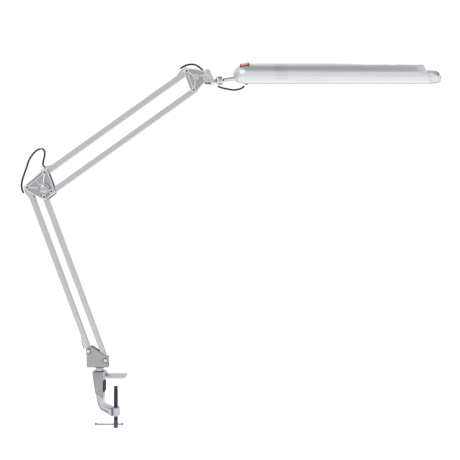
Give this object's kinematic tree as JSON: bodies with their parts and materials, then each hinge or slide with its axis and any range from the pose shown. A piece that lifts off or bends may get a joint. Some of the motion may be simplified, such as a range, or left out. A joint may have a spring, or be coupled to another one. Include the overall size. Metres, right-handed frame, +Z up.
{
  "type": "swing arm desk lamp",
  "caption": "Clamp-on desk lamp with two parallelogram arm stages of square tube, a ball joint and a long slim tube-lamp head with a handle loop.",
  "frame": {"origin": "on the clamp screw's axis at the underside of the upper jaw, which rests on the table top", "axes": "+Z up, +X from the clamp over the table towards the head, the arms move in the plane Y = 0"},
  "size_m": [0.9684, 0.056, 0.8406],
  "materials": {
    "arm_tube": "satin anodised silver",
    "cast_metal": "satin die-cast, polished high spots",
    "clamp_paint": "silver hammered paint",
    "sheet_grey": "matt silver-grey paint",
    "steel": "bright zinc plated",
    "dark_steel": "blackened, oily sheen",
    "black_plastic": "black moulded plastic",
    "head_silver": "metallic silver paint, satin gloss",
    "switch_orange": "translucent orange-red plastic",
    "cable_black": "black PVC sheath",
    "lens_acrylic": "prismatic frosted acrylic",
    "reflector_white": "gloss white",
    "lamp_glass": "phosphor-coated glass",
    "white_plastic": "white moulded plastic"
  },
  "bodies": {
    "clamp": {"clamp_frame": "clamp_paint", "swivel_bush": "sheet_grey", "edge_buffer": "black_plastic"},
    "screw_tip": {"screw_tip_cap": "black_plastic"},
    "clamp_screw": {"clamp_screw": "dark_steel"},
    "tommy_bar": {"tommy_bar": "steel"},
    "base_bracket": {"base_bracket": "sheet_grey", "swivel_pin": "steel", "base_rivet_rear": "steel", "base_rivet_front": "steel"},
    "lower_rear_arm": {"lower_rear_tube": "arm_tube", "lower_rear_base_guide": "arm_tube", "lower_rear_end_guide": "arm_tube", "elbow_cable_lower": "cable_black"},
    "lower_front_arm": {"lower_front_tube": "arm_tube", "lower_front_base_bush": "black_plastic", "lower_front_end_bush": "black_plastic", "lower_front_spring": "steel"},
    "elbow": {"elbow_plate_front": "cast_metal", "elbow_plate_back": "cast_metal", "elbow_pin_rear": "dark_steel", "elbow_pin_front": "dark_steel", "elbow_pin_top": "dark_steel", "elbow_pin_bottom": "dark_steel", "elbow_friction_cap": "cast_metal", "elbow_friction_bolt": "steel"},
    "upper_top_arm": {"upper_top_tube": "arm_tube", "upper_top_base_guide": "arm_tube", "upper_top_end_guide": "arm_tube", "elbow_cable_upper": "cable_black", "wrist_cable": "cable_black"},
    "upper_bottom_arm": {"upper_bottom_tube": "arm_tube", "upper_bottom_base_bush": "black_plastic", "upper_bottom_end_bush": "black_plastic", "upper_bottom_spring": "steel"},
    "wrist": {"wrist_plate_front": "cast_metal", "wrist_plate_back": "cast_metal", "wrist_pin_top": "dark_steel", "wrist_pin_bottom": "dark_steel"},
    "neck": {"neck_fork": "cast_metal", "tilt_screw": "dark_steel", "tilt_nut": "steel"},
    "swivel_barrel": {"swivel_barrel": "cast_metal", "head_cable_rod": "cable_black"},
    "head_rod": {"ball_rod": "steel", "head_hinge_pin": "steel"},
    "head": {"head_shell": "head_silver", "switch_frame": "black_plastic", "dome_plate": "head_silver", "cable_gland": "black_plastic", "lens": "lens_acrylic", "reflector": "reflector_white", "ballast": "white_plastic", "lamp_holder": "white_plastic", "lamp_tube": "lamp_glass", "lamp_clip": "white_plastic", "handle_loop": "head_silver", "head_hinge_bracket": "steel", "head_cable_head": "cable_black"},
    "switch_rocker": {"switch_rocker": "switch_orange"}
  },
  "joints": [
    {"name": "base_swivel", "type": "hinge", "parent": "clamp", "child": "base_bracket", "pos_m": [-0.037, 0, 0.02], "axis": [0, 0, 1], "continuous": true},
    {"name": "tip_lift", "type": "slide", "parent": "clamp", "child": "screw_tip", "axis": [0, 0, 1], "range_m": [-0.042, 0.015]},
    {"name": "screw_turn", "type": "hinge", "parent": "screw_tip", "child": "clamp_screw", "pos_m": [0, 0, -0.06], "axis": [0, 0, 1], "range_deg": [-10080, 3600]},
    {"name": "bar_slide", "type": "slide", "parent": "clamp_screw", "child": "tommy_bar", "axis": [1, 0, 0], "range_m": [-0.006, 0.034]},
    {"name": "lower_arm_swing", "type": "hinge", "parent": "base_bracket", "child": "lower_rear_arm", "pos_m": [-0.0611, 0, 0.0616], "axis": [0, 1, 0], "range_deg": [-18, 70], "deforming": ["elbow_cable_lower"]},
    {"name": "lower_front_follow", "type": "hinge", "parent": "base_bracket", "child": "lower_front_arm", "pos_m": [-0.0226, 0, 0.0401], "axis": [0, 1, 0], "range_deg": [-18, 70]},
    {"name": "elbow_level", "type": "hinge", "parent": "lower_rear_arm", "child": "elbow", "pos_m": [-0.20053, 0, 0.43651], "axis": [0, 1, 0], "range_deg": [-70, 18]},
    {"name": "upper_arm_swing", "type": "hinge", "parent": "elbow", "child": "upper_top_arm", "pos_m": [-0.16143, 0, 0.47091], "axis": [0, 1, 0], "range_deg": [-45, 65], "deforming": ["elbow_cable_upper"]},
    {"name": "upper_bottom_follow", "type": "hinge", "parent": "elbow", "child": "upper_bottom_arm", "pos_m": [-0.14563, 0, 0.42751], "axis": [0, 1, 0], "range_deg": [-45, 65]},
    {"name": "wrist_level", "type": "hinge", "parent": "upper_top_arm", "child": "wrist", "pos_m": [0.16422, 0, 0.70319], "axis": [0, 1, 0], "range_deg": [-65, 45], "deforming": ["wrist_cable"]},
    {"name": "neck_tilt", "type": "hinge", "parent": "wrist", "child": "neck", "pos_m": [0.21192, 0, 0.69419], "axis": [0, 1, 0], "range_deg": [-70, 30]},
    {"name": "head_roll", "type": "hinge", "parent": "neck", "child": "swivel_barrel", "pos_m": [0.23842, 0, 0.68339], "axis": [0.9912, 0, 0.1323], "range_deg": [-90, 50]},
    {"name": "rod_swing", "type": "hinge", "parent": "swivel_barrel", "child": "head_rod", "pos_m": [0.23842, 0, 0.68339], "axis": [-0.0759, 0.8192, 0.5685], "range_deg": [-18, 18], "deforming": ["head_cable_rod"]},
    {"name": "head_tilt", "type": "hinge", "parent": "head_rod", "child": "head", "pos_m": [0.28352, 0, 0.68941], "axis": [-0.0759, 0.8192, 0.5685], "range_deg": [-11, 3], "deforming": ["head_cable_head"]},
    {"name": "switch_rock", "type": "hinge", "parent": "head", "child": "switch_rocker", "pos_m": [0.29702, -0.01516, 0.71686], "axis": [0, 0.8192, 0.5736], "range_deg": [-6, 6]}
  ],
  "couplings": [
    {"joint": "tip_lift", "follows": "screw_turn", "m_per_rad": 0.00023873},
    {"joint": "lower_front_follow", "follows": "lower_arm_swing", "ratio": 1},
    {"joint": "elbow_level", "follows": "lower_arm_swing", "ratio": -1},
    {"joint": "upper_bottom_follow", "follows": "upper_arm_swing", "ratio": 1},
    {"joint": "wrist_level", "follows": "upper_arm_swing", "ratio": -1}
  ]
}
